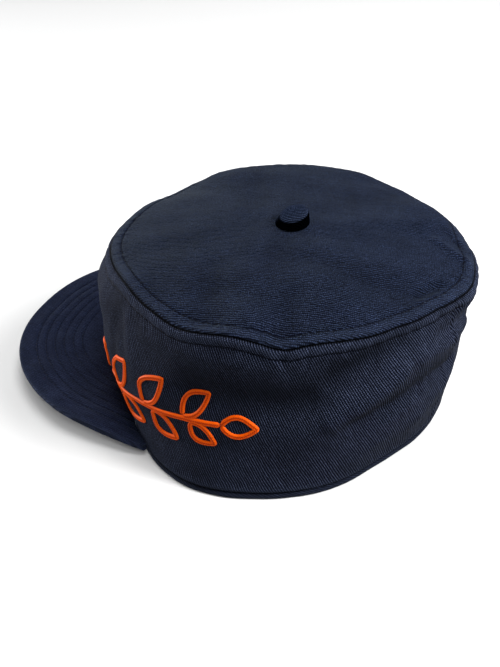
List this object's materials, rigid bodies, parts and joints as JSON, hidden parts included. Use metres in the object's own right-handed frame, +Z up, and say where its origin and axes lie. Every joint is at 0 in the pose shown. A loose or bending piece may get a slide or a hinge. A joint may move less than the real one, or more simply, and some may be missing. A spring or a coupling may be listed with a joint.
{
  "type": "pillbox cap",
  "caption": "Soft cotton twill pillbox cap: round domed top, upright side band, stiff front peak, covered button and sweatband.",
  "frame": {"origin": "on the table under the middle of the cap's outline, peak included", "axes": "+Z up, -Y towards the peak, +X towards the wearer's left"},
  "size_m": [0.2042, 0.2588, 0.1018],
  "materials": {
    "twill_top": "matt twill",
    "twill_side": "matt twill",
    "twill_band": "matt twill",
    "twill_peak": "matt twill",
    "twill_button": "matt twill"
  },
  "bodies": {
    "root": {"crown_top": "twill_top", "crown_side": "twill_side", "sweatband": "twill_band", "peak": "twill_peak", "button": "twill_button"}
  },
  "joints": []
}
